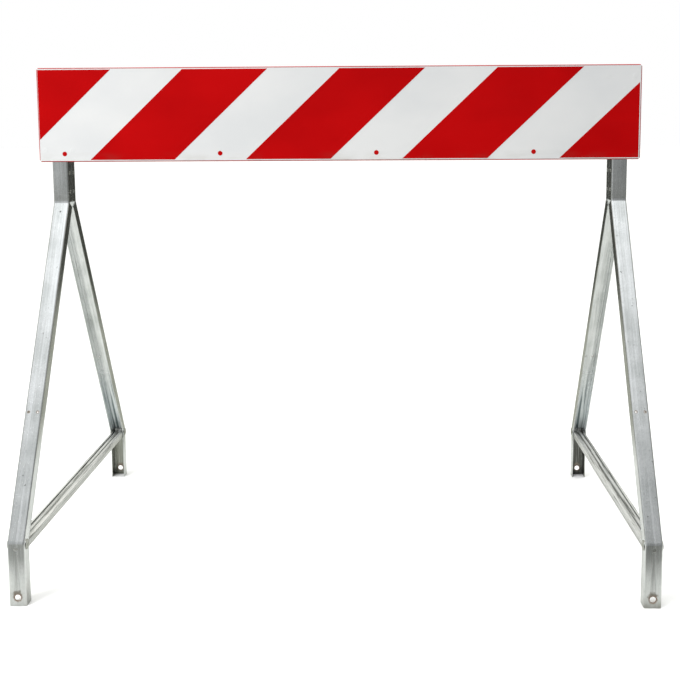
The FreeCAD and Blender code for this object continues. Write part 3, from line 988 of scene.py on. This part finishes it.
# ------------------------------------------------------------------ trestle
@dataclass
class Trestle:
    """One trestle: two bent channels that form a post and two legs, a foot brace and rivets."""

    side: Side
    kit: Kit
    sizes: TrestleSizes
    bend_step: float = 0.0035
    lap_share: float = 0.55
    lap_drop: float = 0.002
    brace_rise: float = 0.015
    brace_lip: float = 0.005
    brace_gauge: float = 0.0015
    brace_fold: float = 0.002
    lip_trim: float = 0.028
    wall_trim: float = 0.0036
    rib_at: float = 0.0055
    rib_rise: float = 0.0105
    body: str = field(init=False)
    x: float = field(init=False)
    top_z: float = field(init=False)
    lean: float = field(init=False)

    def __post_init__(self) -> None:
        """Read the trestle's place from the frame."""
        sizes = self.sizes
        low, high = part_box(f"front_leg_{self.side.value}")
        self.body = f"trestle_{self.side.value}"
        self.x = (low.x + high.x) / 2.0
        self.top_z = high.z
        self.lean = math.atan2(sizes.spread - sizes.half_post, sizes.apex_z - sizes.ankle_z)

    def build(self) -> None:
        """Make every piece of the trestle."""
        for end in End:
            self.leg(end)
        self.brace()
        self.post_rivets()
        self.brace_rivets()
        coat(self.kit.nodes[f"post_core_{self.side.value}"], self.kit.zinc)

    def section(self) -> list[tuple[float, float]]:
        """Draw the outer line of the channel's section.

        Returns:
            Across and depth of each point, from flange edge to flange edge.
        """
        sizes, half = self.sizes, self.sizes.width / 2.0
        corners = [(-half, sizes.flange), (-half, 0.0), (half, 0.0), (half, sizes.flange)]
        line = fillet(corners, sizes.fold, 6)
        root, cut = sizes.fold + 0.001, sizes.flange - sizes.notch
        web = [(half * share, 0.0) for share in (-0.5, 0.0, 0.5)]
        split = len(line) // 2
        left = [line[0], (-half, cut), (-half, root), *line[1:split]]
        return [*left, *web, *line[split:-1], (half, root), (half, cut), line[-1]]

    def leg(self, end: End) -> None:
        """Bend one channel: post, slanted leg and upright foot, with slit and lapped flanges.

        Args:
            end: Front or rear.
        """
        sizes = self.sizes
        apex = Vector((0, -sizes.half_post, sizes.apex_z))
        ankle = Vector((0, -sizes.spread, sizes.ankle_z))
        down = (ankle - apex).normalized()
        square = Vector((0, 1, 0))
        inward = Vector((0, math.cos(self.lean), -math.sin(self.lean)))
        mitre = Vector((0, 1, -math.tan(self.lean / 2.0)))
        root = sizes.fold + 0.001
        line = self.section()

        def run(start: Vector, way: Vector) -> list[Vector]:
            """Lay the section out at a point, with its depth along a direction."""
            return [start + Vector((x, 0, 0)) + way * q for x, q in line]

        def slit(way: Vector, offset: Vector) -> list[Vector]:
            """Lay the section at the apex, with its slit flanges opened.

            Args:
                way: Where the flanges' edges point.
                offset: How far the row lies from the apex.

            Returns:
                The row of points.
            """
            row = []
            for x, q in line:
                share = max(0.0, (q - root) / (sizes.flange - root))
                reach = (mitre * root).lerp(way * sizes.flange, share) if share > 1e-6 else mitre * q
                row.append(apex + Vector((x, 0, 0)) + reach + offset)
            return row

        still, up = Vector(), Vector((0, 0, self.bend_step))
        lapped = run(ankle, mitre)
        lapped[0], lapped[-1] = lapped[1].copy(), lapped[-2].copy()
        rows = [
            run(Vector((0, -sizes.half_post, self.top_z)), square),
            slit(square, up), slit(square, still), slit(inward, still), slit(inward, down * up.z),
            run(ankle - down * up.z, mitre), lapped, run(ankle - up, mitre),
            run(Vector((0, -sizes.spread, 0)), square),
        ]
        piece = sheet_mesh(f"{end.name.lower()}_channel_{self.side.value}", rows, breaks=(2,))
        face_towards(piece, FORWARD)
        thicken(piece, sizes.gauge)
        spot = apex.lerp(ankle, sizes.web_share)
        foot = Vector((0, -sizes.spread, sizes.foot_hole_z))
        holes = [(foot, -square, sizes.foot_hole)]
        for way in (1.0, -1.0):
            gap = Vector((way * sizes.web_hole_gap / 2.0, 0, 0))
            holes.append((spot + gap, -inward, sizes.web_hole))
        drill(piece, holes, sizes.gauge)
        self.tongues(piece, ankle + mitre * (sizes.flange * self.lap_share) - Vector((0, 0, self.lap_drop)))
        piece.data.transform(Matrix.Translation((self.x, 0, 0)) @ Matrix.Rotation(end.value, 4, "Z"))
        node = f"{end.name.lower()}_leg_{self.side.value}"
        fit(piece, self.body, self.kit.strip, "galvanised_leg", node)

    def tongues(self, piece: Thing, lap: Vector) -> None:
        """Lay the round lapped tongues, each with a spot weld's dent, on the flanges' outsides.

        Args:
            piece: The channel they belong to.
            lap: Centre of the lap in the channel's own Y-Z plane.
        """
        thick = self.sizes.gauge
        profile = [
            (0.0, -0.0002), (0.0093, -0.0002), (0.0095, 0.0), (0.0095, thick - 0.0006),
            (0.0092, thick - 0.0001), (0.0086, thick), (0.0034, thick), (0.0027, thick - 0.0003),
            (0.0016, thick - 0.0007), (0.0, thick - 0.0008),
        ]
        for way in BOTH:
            spot = Vector((way * self.sizes.width / 2.0, lap.y, lap.z))
            turn = Vector((way, 0, 0)).to_track_quat("Z", "Y").to_matrix().to_4x4()
            absorb(piece, lathe(profile, 36), Matrix.Translation(spot) @ turn)

    def brace(self) -> None:
        """Fold the lipped foot brace, open side up, with two low ribs and its end tabs turned up."""
        low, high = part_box(f"foot_brace_{self.side.value}")
        half, reach, rise, lip = (high.x - low.x) / 2.0, high.y, self.brace_rise, self.brace_lip
        fold = self.brace_fold
        ribs = []
        for middle in (-self.rib_at, self.rib_at):
            ribs += [(middle - 0.0036, 0.0), (middle - 0.0022, self.rib_rise)]
            ribs += [(middle + 0.0022, self.rib_rise), (middle + 0.0036, 0.0)]
        left = [(-half + lip, rise), (-half, rise), (-half, 0.0)]
        outline = fillet(left + [(-x, z) for x, z in left[::-1]], fold, 4)
        split = len(outline) // 2
        line = outline[:split] + ribs + outline[split:]
        every = set(range(len(line)))
        ends = {0, len(line) - 1}
        top = {i for i, (_, z) in enumerate(line) if z > rise - 1e-6}
        lips = {i for i in top if i in ends or abs(line[i][0]) < half - 0.0018}
        floor = {i for i, (x, z) in enumerate(line) if z < 0.011 and abs(x) < half - 0.0015}

        def row(y: float, keep: set[int]) -> list[Vector | None]:
            """Section of the brace at a place along it, with some of its points left out."""
            return [Vector((x, y, low.z + z)) if i in keep else None for i, (x, z) in enumerate(line)]

        def tab(y: float, z: float, narrow: float) -> list[Vector | None]:
            """Level line across an end tab."""
            return [Vector((x * narrow, y, z)) if i in floor else None for i, (x, _) in enumerate(line)]

        rows: list[list[Vector | None]] = []
        for way in BOTH:
            part = [tab(way * reach, self.sizes.ankle_z - 0.001, 0.9)]
            for step in range(5):
                angle = math.radians(90.0 * step / 4.0)
                y = reach - fold * (1.0 - math.cos(angle))
                part.append(tab(way * y, low.z + fold * (1.0 - math.sin(angle)), 0.93))
            # The side walls begin a little inside the tabs, so the corner stays open as on folded sheet.
            part.append(row(way * (reach - self.brace_gauge - self.wall_trim), every - lips))
            part.append(row(way * (reach - self.lip_trim), every))
            rows += part if way < 0 else part[::-1]
        piece = sheet_mesh(f"brace_channel_{self.side.value}", rows)
        face_towards(piece, Vector((0, 0, -1)))
        thicken(piece, self.brace_gauge, 0.00025)
        piece.data.transform(Matrix.Translation((self.x, 0, 0)))
        fit(piece, self.body, self.kit.shade_lined, "galvanised_leg", f"foot_brace_{self.side.value}")

    def post_rivets(self) -> None:
        """Set the blind rivets on both sides of the post."""
        node = f"blind_rivets_{self.side.value}"
        rivet = Rivet(0.0036, 0.0014, 0.0009)
        low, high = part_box(node)
        places = []
        for way in BOTH:
            for y in (low.y + rivet.radius, high.y - rivet.radius):
                for z in (low.z + rivet.radius, high.z - rivet.radius):
                    spot = Vector((self.x + way * self.sizes.width / 2.0, y, z))
                    places.append((spot, Vector((way, 0, 0))))
        piece = self.kit.rivets.set(f"post_rivets_{self.side.value}", places, rivet, self.kit.alloy)
        fit(piece, self.body, self.kit.alloy, "aluminium_rivet", node)

    def brace_rivets(self) -> None:
        """Set the brace's rivets: flush heads outside the feet and domed tails inside them."""
        node = f"brace_rivets_{self.side.value}"
        low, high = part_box(node)
        z = (low.z + high.z) / 2.0
        rows = (
            ("tab_rivets", Rivet(0.0042, 0.0006), 0.0002, 1.0, [node]),
            ("tab_rivet_tails", Rivet(0.0044, 0.0022), 0.0036, -1.0, []),
        )
        for name, rivet, inset, out, nodes in rows:
            places = []
            for way in BOTH:
                spot = Vector((self.x, way * (self.sizes.spread - inset), z))
                places.append((spot, Vector((0, way * out, 0))))
            piece = self.kit.rivets.set(f"{name}_{self.side.value}", places, rivet, self.kit.plated)
            fit(piece, self.body, self.kit.plated, "zinc_fastener", *nodes)


# ------------------------------------------------------------------ board
@dataclass
class Board:
    """The striped board: folded tray, film, bars and the pockets on its back."""

    kit: Kit
    post_x: float
    gauge: float = 0.001
    rim: float = 0.020
    lip: float = 0.006
    fold: float = 0.0018
    relief: float = 0.003
    lip_mitre: float = 0.0085
    pocket: float = 0.0171
    bracket_gauge: float = 0.002
    bracket_fold: float = 0.0028
    rivet_out: float = 0.0291
    film_gauge: float = 0.00025
    film_spill: float = 0.0006
    film_swell: float = 0.00028
    swell_reach: float = 0.0058
    swell_slope: float = 0.0016
    edge_proud: float = 0.00015
    bars: int = 5
    low: Vector = field(init=False)
    high: Vector = field(init=False)
    half_z: float = field(init=False)
    centre_z: float = field(init=False)
    rivet_zs: tuple[float, float] = field(init=False)

    def __post_init__(self) -> None:
        """Read the board's place from the frame."""
        self.low, self.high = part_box("rail_panel")
        self.half_z = (self.high.z - self.low.z) / 2.0
        self.centre_z = (self.high.z + self.low.z) / 2.0
        low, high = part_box("bracket_rivets_left")
        self.rivet_zs = (low.z + 0.004, high.z - 0.004)

    def build(self) -> None:
        """Make every piece of the board."""
        self.tray()
        self.film()
        self.edge_line()
        for name in (*(f"red_bar_{number + 1}" for number in range(self.bars)), "film_roundels"):
            coat(self.kit.nodes[name], self.kit.red)
        for side in Side:
            for level in Level:
                self.bracket(side, level)
            self.bracket_rivets(side)
            coat(self.kit.nodes[f"weld_nut_{side.value}"], self.kit.plated)

    def tray(self) -> None:
        """Fold the tray from one blank: front, four rims and four lips, with open corners."""
        half_x, half_z, r, rim, front = self.high.x, self.half_z, self.fold, self.rim, self.low.y
        quarter, wall = r * math.pi / 2.0, rim - 2.0 * r
        notch = self.pocket + 0.0025

        def turned(u: float) -> tuple[float, float]:
            """Fold a margin.

            Args:
                u: Unfolded distance outwards from the fold's start.

            Returns:
                Reach past the fold's start, and depth behind the front.
            """
            if u <= quarter:
                return r * math.sin(u / r), r * (1.0 - math.cos(u / r))
            if u <= quarter + wall:
                return r, r + u - quarter
            turn = (u - quarter - wall) / r
            if turn <= math.pi / 2.0:
                return r * math.cos(turn), r + wall + r * math.sin(turn)
            return quarter * 2.0 + wall - u, rim

        def stations(flat: list[float]) -> list[tuple[float, float]]:
            """Lay grid lines over one axis of the blank.

            Args:
                flat: Their places on the flat front.

            Returns:
                The margin of each line, -1, 0 or 1, and its place or its unfolded distance.
            """
            bend = [quarter * k / 4.0 for k in range(1, 5)]
            far = quarter + wall
            marks = [*bend, quarter + wall * 0.5, far, *(far + b for b in bend), far + quarter + self.lip - r]
            return [(-1.0, m) for m in marks[::-1]] + [(0.0, v) for v in flat] + [(1.0, m) for m in marks]

        def settled(way: float, value: float, half: float) -> tuple[float, float]:
            """Fold one grid line.

            Args:
                way: The margin it lies on, or 0 for the front.
                value: Its place, or its unfolded distance.
                half: Half of the board along this axis.

            Returns:
                Its place and its depth.
            """
            if way == 0.0:
                return value, 0.0
            reach, depth = turned(value)
            return way * (half - r + reach), depth

        def cut(along: float, half: float, depth: float) -> bool:
            """Whether a margin is cut away here, near the end of its side."""
            mitred = depth > rim - 1e-6 and along > half - self.lip_mitre
            return along > half - self.relief + 1e-6 or mitred

        def at_post(x: float) -> bool:
            """Whether a place is within a post's notch."""
            return abs(abs(x) - self.post_x) < notch - 1e-4

        def inner(half: float, *extra: float) -> list[float]:
            """Grid lines of the flat front, the same on both sides of the middle."""
            side = [half - r - 0.0001, half - self.relief, half - 0.009, *extra]
            return sorted({round(way * v, 5) for v in side for way in BOTH} | {0.0})

        columns = stations(inner(half_x, self.post_x - notch, self.post_x + notch))
        lines = stations(inner(half_z))
        bm = bmesh.new()
        grid: list[list[bmesh.types.BMVert | None]] = []
        for way_z, value_z in lines:
            row: list[bmesh.types.BMVert | None] = []
            for way_x, value_x in columns:
                x, deep_x = settled(way_x, value_x, half_x)
                z, deep_z = settled(way_z, value_z, half_z)
                depth = max(deep_x, deep_z)
                gone = bool(way_x and way_z)
                gone = gone or bool(way_z) and cut(abs(x), half_x, depth)
                gone = gone or bool(way_x) and cut(abs(z), half_z, depth)
                gone = gone or way_z < 0 and depth > r * 1.5 and at_post(x)
                row.append(None if gone else bm.verts.new((x, front + depth, self.centre_z + z)))
            grid.append(row)
        for i in range(len(grid) - 1):
            for j in range(len(grid[0]) - 1):
                corners = [grid[i][j], grid[i][j + 1], grid[i + 1][j + 1], grid[i + 1][j]]
                if any(c is None for c in corners):
                    continue
                deep = min(c.co.y for c in corners) > front + r * 0.9
                under = all(c.co.z < self.low.z + self.lip + 0.001 for c in corners)
                if deep and under and at_post(sum(c.co.x for c in corners) / 4.0):
                    continue
                bm.faces.new(corners)
        bmesh.ops.delete(bm, geom=[v for v in bm.verts if not v.link_faces], context="VERTS")
        piece = link("folded_tray", bm)
        face_towards(piece, FORWARD)
        thicken(piece, self.gauge, 0.0002)
        fit(piece, "board", self.kit.zinc, "galvanised_sheet", "rail_panel")

    def film(self) -> None:
        """Lay the white film, slightly raised where it passes over the flush rivets."""
        low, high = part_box("white_film")
        spill = Vector((self.film_spill, 0.0, self.film_spill))
        low, high = low - spill, high + spill
        rivet_xs = [way * self.post_x + out * self.rivet_out for way in BOTH for out in BOTH]

        def ticks(start: float, end: float, parts: int, rivets: list[float]) -> list[float]:
            """Divide a span, more finely around each rivet.

            Args:
                start: Where the span starts.
                end: Where it ends.
                parts: Number of even parts.
                rivets: Places of the rivets.

            Returns:
                The grid lines in order.
            """
            even = [start + (end - start) * k / parts for k in range(parts + 1)]
            fine = [spot + k * 0.0007 for spot in rivets for k in range(-9, 10)]
            return sorted({round(v, 5) for v in even + fine})

        rows = []
        for z in ticks(low.z, high.z, 8, list(self.rivet_zs)):
            row = []
            for x in ticks(low.x, high.x, 40, rivet_xs):
                near = min(math.hypot(x - rx, z - rz) for rx in rivet_xs for rz in self.rivet_zs)
                share = (self.swell_reach - near) / self.swell_slope
                swell = self.film_swell * max(0.0, min(1.0, share))
                row.append(Vector((x, low.y - swell, z)))
            rows.append(row)
        piece = sheet_mesh("white_film_face", rows)
        face_towards(piece, FORWARD)
        thicken(piece, self.film_gauge, 0.0)
        fit(piece, "board", self.kit.white, "white_reflective_film", "white_film")

    def edge_line(self) -> None:
        """Wrap a narrow red edge line over the front fold on all four sides."""
        reach = self.fold + self.edge_proud
        arc = [math.radians(angle) for angle in range(8, 89, 10)]
        strips = []
        for level, along, across in ((True, self.high.x, self.half_z), (False, self.half_z, self.high.x)):
            length = along - self.relief - 0.0004
            steps = [length * k / 12.0 for k in range(-12, 13)]
            for way in BOTH:
                rows = []
                for angle in arc:
                    out = way * (across - self.fold + reach * math.sin(angle))
                    deep = self.low.y + self.fold - reach * math.cos(angle)
                    spots = [(t, out) if level else (out, t) for t in steps]
                    rows.append([Vector((x, deep, self.centre_z + z)) for x, z in spots])
                strip = sheet_mesh("red_edge_line", rows)
                face_towards(strip, FORWARD)
                thicken(strip, self.edge_proud, 0.0)
                strips.append(strip)
        for extra in strips[1:]:
            join(strips[0], extra)
        fit(strips[0], "board", self.kit.red, "red_reflective_film")

    def bracket(self, side: Side, level: Level) -> None:
        """Fold one hat bracket from its outer line in plan: foot, wall, back, wall, foot.

        Args:
            side: Which post it holds.
            level: Which of its two brackets; only the upper one has a closed top.
        """
        name, thick = f"{level.value}_bracket_{side.value}", self.bracket_gauge
        low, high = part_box(name)
        middle, wall, foot = (low.x + high.x) / 2.0, self.pocket + thick, low.y + thick
        left, right = middle - wall, middle + wall
        corners = [(low.x, foot), (left, foot), (left, high.y)]
        corners += [(right, high.y), (right, foot), (high.x, foot)]
        line = fillet(corners, self.bracket_fold, 5)
        rows = [[Vector((x, y, z)) for x, y in line] for z in (low.z, (low.z + high.z) / 2.0, high.z)]
        piece = sheet_mesh(f"{level.value}_hat_{side.value}", rows)
        face_towards(piece, Vector((0, 1, 0)))
        thicken(piece, thick, 0.0003)
        if level is Level.UPPER:
            self.lid(piece, (left + 0.0004, middle, right - 0.0004), low, high)
        fit(piece, "board", self.kit.zinc, "galvanised_bracket", name)

    def lid(self, piece: Thing, xs: tuple[float, float, float], low: Vector, high: Vector) -> None:
        """Turn the back plate's top flap forward over the post.

        Args:
            piece: The bracket that it belongs to.
            xs: Left edge, middle and right edge of the flap.
            low: Lowest corner of the bracket.
            high: Highest corner of the bracket.
        """
        corners = [(high.y, high.z - 0.006), (high.y, high.z), (low.y + 0.008, high.z)]
        line = fillet(corners, self.bracket_fold, 5)
        flap = sheet_mesh("lid", [[Vector((x, y, z)) for x in xs] for y, z in line])
        face_towards(flap, Vector((0, 0, 1)))
        thicken(flap, self.bracket_gauge, 0.0003)
        join(piece, flap)

    def bracket_rivets(self, side: Side) -> None:
        """Set the four rivets of one post's brackets, with their heads on the brackets' feet.

        Args:
            side: Which post they belong to.
        """
        node = f"bracket_rivets_{side.value}"
        low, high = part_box(node)
        middle, back = (low.x + high.x) / 2.0, high.y - 0.0016
        places = []
        for way in BOTH:
            for z in self.rivet_zs:
                places.append((Vector((middle + way * self.rivet_out, back, z)), Vector((0, 1, 0))))
        rivet = Rivet(0.0044, 0.0019)
        piece = self.kit.rivets.set(f"foot_rivets_{side.value}", places, rivet, self.kit.plated)
        fit(piece, "board", self.kit.plated, "zinc_fastener", node)


# ------------------------------------------------------------------ wing screw
@dataclass
class WingScrew:
    """One clamp: a rolled M8 thread and a cast wing head."""

    side: Side
    kit: Kit
    pitch: float = 0.00125
    depth: float = 0.0006
    chamfer: float = 0.001
    around: int = 24
    steps_per_turn: int = 8
    wing_half: float = 0.0021

    def build(self) -> None:
        """Make the thread and the wing."""
        low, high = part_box(f"clamp_screw_{self.side.value}")
        self.thread(low, high)
        self.wing((low + high) / 2.0)

    def thread(self, low: Vector, high: Vector) -> None:
        """Roll the thread: a skin whose radius follows a helix, with a chamfered tip.

        Args:
            low: Lowest corner of the screw.
            high: Highest corner of the screw.
        """
        outer, length = (high.x - low.x) / 2.0, high.y - low.y
        foot = Vector(((low.x + high.x) / 2.0, low.y, (low.z + high.z) / 2.0))
        steps = int(length / self.pitch * self.steps_per_turn)
        rings = []
        for k in range(steps + 1):
            y = length * k / steps
            ring = []
            for j in range(self.around):
                angle = math.tau * j / self.around
                phase = (y / self.pitch - j / self.around) % 1.0
                crest = max(0.0, min(1.0, 2.3 * abs(phase - 0.5) - 0.1))
                tip = min(1.0, y / self.chamfer)
                radius = (outer - self.depth * (1.0 - crest)) * (0.72 + 0.28 * tip)
                ring.append(foot + Vector((radius * math.cos(angle), y, radius * math.sin(angle))))
            rings.append([*ring, ring[0].copy()])
        caps = [[sum(ring[:-1], Vector()) / self.around] * len(ring) for ring in (rings[0], rings[-1])]
        piece = sheet_mesh(f"rolled_thread_{self.side.value}", [caps[0], *rings, caps[1]])
        bm = bmesh.new()
        bm.from_mesh(piece.data)
        bmesh.ops.remove_doubles(bm, verts=bm.verts, dist=1e-6)
        bmesh.ops.recalc_face_normals(bm, faces=bm.faces)
        bm.to_mesh(piece.data)
        bm.free()
        settle(piece, 50.0)
        self.seat(piece, self.kit.plated, "zinc_fastener", "clamp_screw")

    def wing(self, centre: Vector) -> None:
        """Cast the wing head: a waisted hub with two flared ears, softened by subdivision.

        Args:
            centre: Middle of the screw.
        """
        low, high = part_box(f"clamp_wing_{self.side.value}")
        half = (high.x - low.x) / 2.0
        waist = [
            (0.0, 0.0), (0.0066, 0.0), (0.0075, 0.0007), (0.0072, 0.004),
            (0.0061, 0.0095), (0.0055, 0.0115), (0.0048, 0.012), (0.0, 0.012),
        ]
        outline = [
            (0.003, 0.0018), (half * 0.62, 0.003), (half * 0.92, 0.0075), (half, 0.0125),
            (half * 0.93, 0.0146), (half * 0.8, 0.0143), (half * 0.58, 0.0112), (0.003, 0.0104),
        ]
        middle = Vector((half * 0.55, 0.0085))
        count = len(outline)
        bm = bmesh.new()
        for way in BOTH:
            layers = []
            for z, grow in ((-self.wing_half, 0.9), (0.0, 1.0), (self.wing_half, 0.9)):
                layer = [middle + (Vector(spot) - middle) * grow for spot in outline]
                layers.append([bm.verts.new((way * spot.x, spot.y, z)) for spot in layer])
            for a, b in zip(layers, layers[1:]):
                for k in range(count):
                    n = (k + 1) % count
                    bm.faces.new((a[k], a[n], b[n], b[k]))
            for layer in (layers[0], layers[-1]):
                for k in range(3):
                    bm.faces.new((layer[k], layer[k + 1], layer[6 - k], layer[7 - k]))
        bmesh.ops.recalc_face_normals(bm, faces=bm.faces)
        piece = link(f"cast_wing_{self.side.value}", bm)
        soft = piece.modifiers.new("cast_softness", "SUBSURF")
        soft.levels = soft.render_levels = 2
        settle(piece, 60.0)
        absorb(piece, lathe(waist, 28), Matrix.Rotation(-math.pi / 2.0, 4, "X"))
        piece.data.transform(Matrix.Translation((centre.x, low.y, centre.z)))
        self.seat(piece, self.kit.cast, "cast_wing_iron", "clamp_wing")

    def seat(self, piece: Thing, finish: Material, slot: str, node: str) -> None:
        """Dress a piece and seat it on this side's screw body."""
        fit(piece, f"screw_{self.side.value}", finish, slot, f"{node}_{self.side.value}")


# ------------------------------------------------------------------ studio
@dataclass
class Studio:
    """Pale floor, soft light and the camera."""

    place: tuple[float, float, float] = (0.0985, -2.2112, 0.8934)
    pitch: float = -0.1148
    yaw: float = 0.0192
    roll: float = -0.0054
    lens: float = 53.68
    shift: tuple[float, float] = (-0.0368, -0.1324)
    reach: float = 60.0

    def build(self) -> None:
        """Make the floor, the lights, the world and the camera."""
        self.floor()
        self.world()
        self.lights()
        self.camera()

    def floor(self) -> None:
        """Lay a wide pale floor that bounces less light than it shows, each half under its own trestle."""
        material = bpy.data.materials.new("matt_pale_floor")
        material.use_nodes = True
        tree = material.node_tree
        tree.nodes.clear()
        place = put(tree, "ShaderNodeTexCoord", {}, {}).outputs["Object"]
        x, y, _ = put(tree, "ShaderNodeSeparateXYZ", {}, {0: place}).outputs
        near = self.eased(tree, linear("848582"), (x, -0.5, 0.5, linear("6C6D6A")))
        tone = self.eased(
            tree,
            near,
            (y, -0.6, -0.35, linear("DBDCD9")),
            (y, 0.45, 0.9, linear("94958B")),
            (y, 2.0, 4.0, linear("30312B")),
        )
        shown = put(tree, "ShaderNodeBsdfDiffuse", {}, {"Color": linear("FBFBFB")})
        felt = put(tree, "ShaderNodeBsdfDiffuse", {}, {"Color": tone})
        put(tree, "ShaderNodeOutputMaterial", {}, {"Surface": two_views(tree, shown, felt)})
        for side, way in ((Side.LEFT, -1.0), (Side.RIGHT, 1.0)):
            near_x, far_x = sorted((0.0, way * self.reach))
            spots = ((near_x, -self.reach), (far_x, -self.reach), (far_x, self.reach), (near_x, self.reach))
            bm = bmesh.new()
            bm.faces.new([bm.verts.new((across, along, 0.0)) for across, along in spots])
            ground = link(f"floor_{side.value}", bm)
            ground.data.materials.append(material)
            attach(ground, f"trestle_{side.value}")

    @staticmethod
    def eased(tree: Tree, ground: Feed, *steps: tuple[Feed, float, float, Feed]) -> Feed:
        """Change a colour softly from place to place.

        Args:
            tree: The node tree.
            ground: The colour to begin with.
            steps: For each change a value, where it starts and ends, and the colour beyond it.

        Returns:
            The changing colour.
        """
        soft = {"interpolation_type": "SMOOTHSTEP"}
        for value, start, end, colour in steps:
            mask = put(tree, "ShaderNodeMapRange", soft, {0: value, 1: start, 2: end})
            ground = coated(tree, ground, (mask, 0.0, 1.0, 1.0, colour))
        return ground

    def world(self) -> None:
        """Surround the object with a white sweep that is dimmer near the horizon in reflections."""
        world = bpy.data.worlds.new("studio")
        bpy.context.scene.world = world
        world.use_nodes = True
        tree = world.node_tree
        tree.nodes.clear()
        way = put(tree, "ShaderNodeTexCoord", {}, {}).outputs["Generated"]
        x, y, z = put(tree, "ShaderNodeSeparateXYZ", {}, {0: way}).outputs
        spans = ((x, -0.3, 0.25, 0.57, 0.33), (z, 0.48, 0.93, 0.0, 1.0), (z, 0.02, 0.42, 0.05, 1.05))
        spans += ((y, -0.35, 0.35, 0.0, 1.0), (x, -0.5, 0.5, 1.04, 0.86))
        soft = {"interpolation_type": "SMOOTHSTEP"}
        level, rise, behind, facing, beside = (
            put(tree, "ShaderNodeMapRange", soft, dict(enumerate(span))) for span in spans
        )
        front = put(tree, "ShaderNodeMix", {}, {0: rise, 2: level, 3: 1.7})
        around = put(tree, "ShaderNodeMix", {}, {0: facing, 2: front, 3: behind})
        glow = put(tree, "ShaderNodeMath", {"operation": "MULTIPLY"}, {0: around, 1: beside})
        tint = coated(tree, linear("F6F8F9"), (facing, 0.0, 1.0, 1.0, linear("F4F4EC")))
        seen = put(tree, "ShaderNodeBackground", {}, {"Color": (1, 1, 1, 1), "Strength": 1.0})
        felt = put(tree, "ShaderNodeBackground", {}, {"Color": tint, "Strength": glow})
        put(tree, "ShaderNodeOutputWorld", {}, {"Surface": two_views(tree, seen, felt)})

    def lights(self) -> None:
        """Hang a broad overhead sun and two soft boxes, none of them seen in the metal."""
        sun = bpy.data.lights.new("overhead_sweep", "SUN")
        sun.energy = 0.95
        sun.angle = math.radians(75.0)
        self.hang(sun, (-1.2, -1.5, 4.0), 0.3)
        for name, where, power in (("key_box", (-2.6, -2.6, 1.9), 90.0), ("back_box", (2.6, 2.8, 2.4), 40.0)):
            light = bpy.data.lights.new(name, "AREA")
            light.shape = "SQUARE"
            light.size = 1.8
            light.energy = power
            self.hang(light, where, 0.7)

    @staticmethod
    def hang(light: bpy.types.Light, where: tuple[float, float, float], height: float) -> None:
        """Put a light at a place and point it at the middle of the object.

        Args:
            light: The light.
            where: Its place.
            height: Height of the point that it faces.
        """
        holder = show(light.name, light)
        holder.location = where
        holder.visible_glossy = False
        holder.visible_camera = False
        holder.rotation_euler = (Vector((0, 0, height)) - Vector(where)).to_track_quat("-Z", "Y").to_euler()

    def camera(self) -> None:
        """Set the camera level with the board, with a rise so that the feet stay in frame."""
        data = bpy.data.cameras.new("camera")
        data.sensor_width = 36.0
        data.lens = self.lens
        data.shift_x, data.shift_y = self.shift
        data.dof.use_dof = False
        camera = show("camera", data)
        turns = ((self.yaw, "Z"), (math.pi / 2.0 + self.pitch, "X"), (self.roll, "Z"))
        aim = Matrix.Translation(self.place)
        for angle, axis in turns:
            aim = aim @ Matrix.Rotation(angle, 4, axis)
        camera.matrix_world = aim
        bpy.context.scene.camera = camera
        bpy.context.scene.view_settings.view_transform = "Standard"


def main() -> None:
    """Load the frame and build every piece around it."""
    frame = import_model()
    sizes = TrestleSizes.read()
    Studio().build()
    kit = Kit.gather(frame["nodes"], sizes)
    for side in Side:
        Trestle(side, kit, sizes).build()
        WingScrew(side, kit).build()
    Board(kit, sizes.post_x).build()


if __name__ == "__main__":
    main()
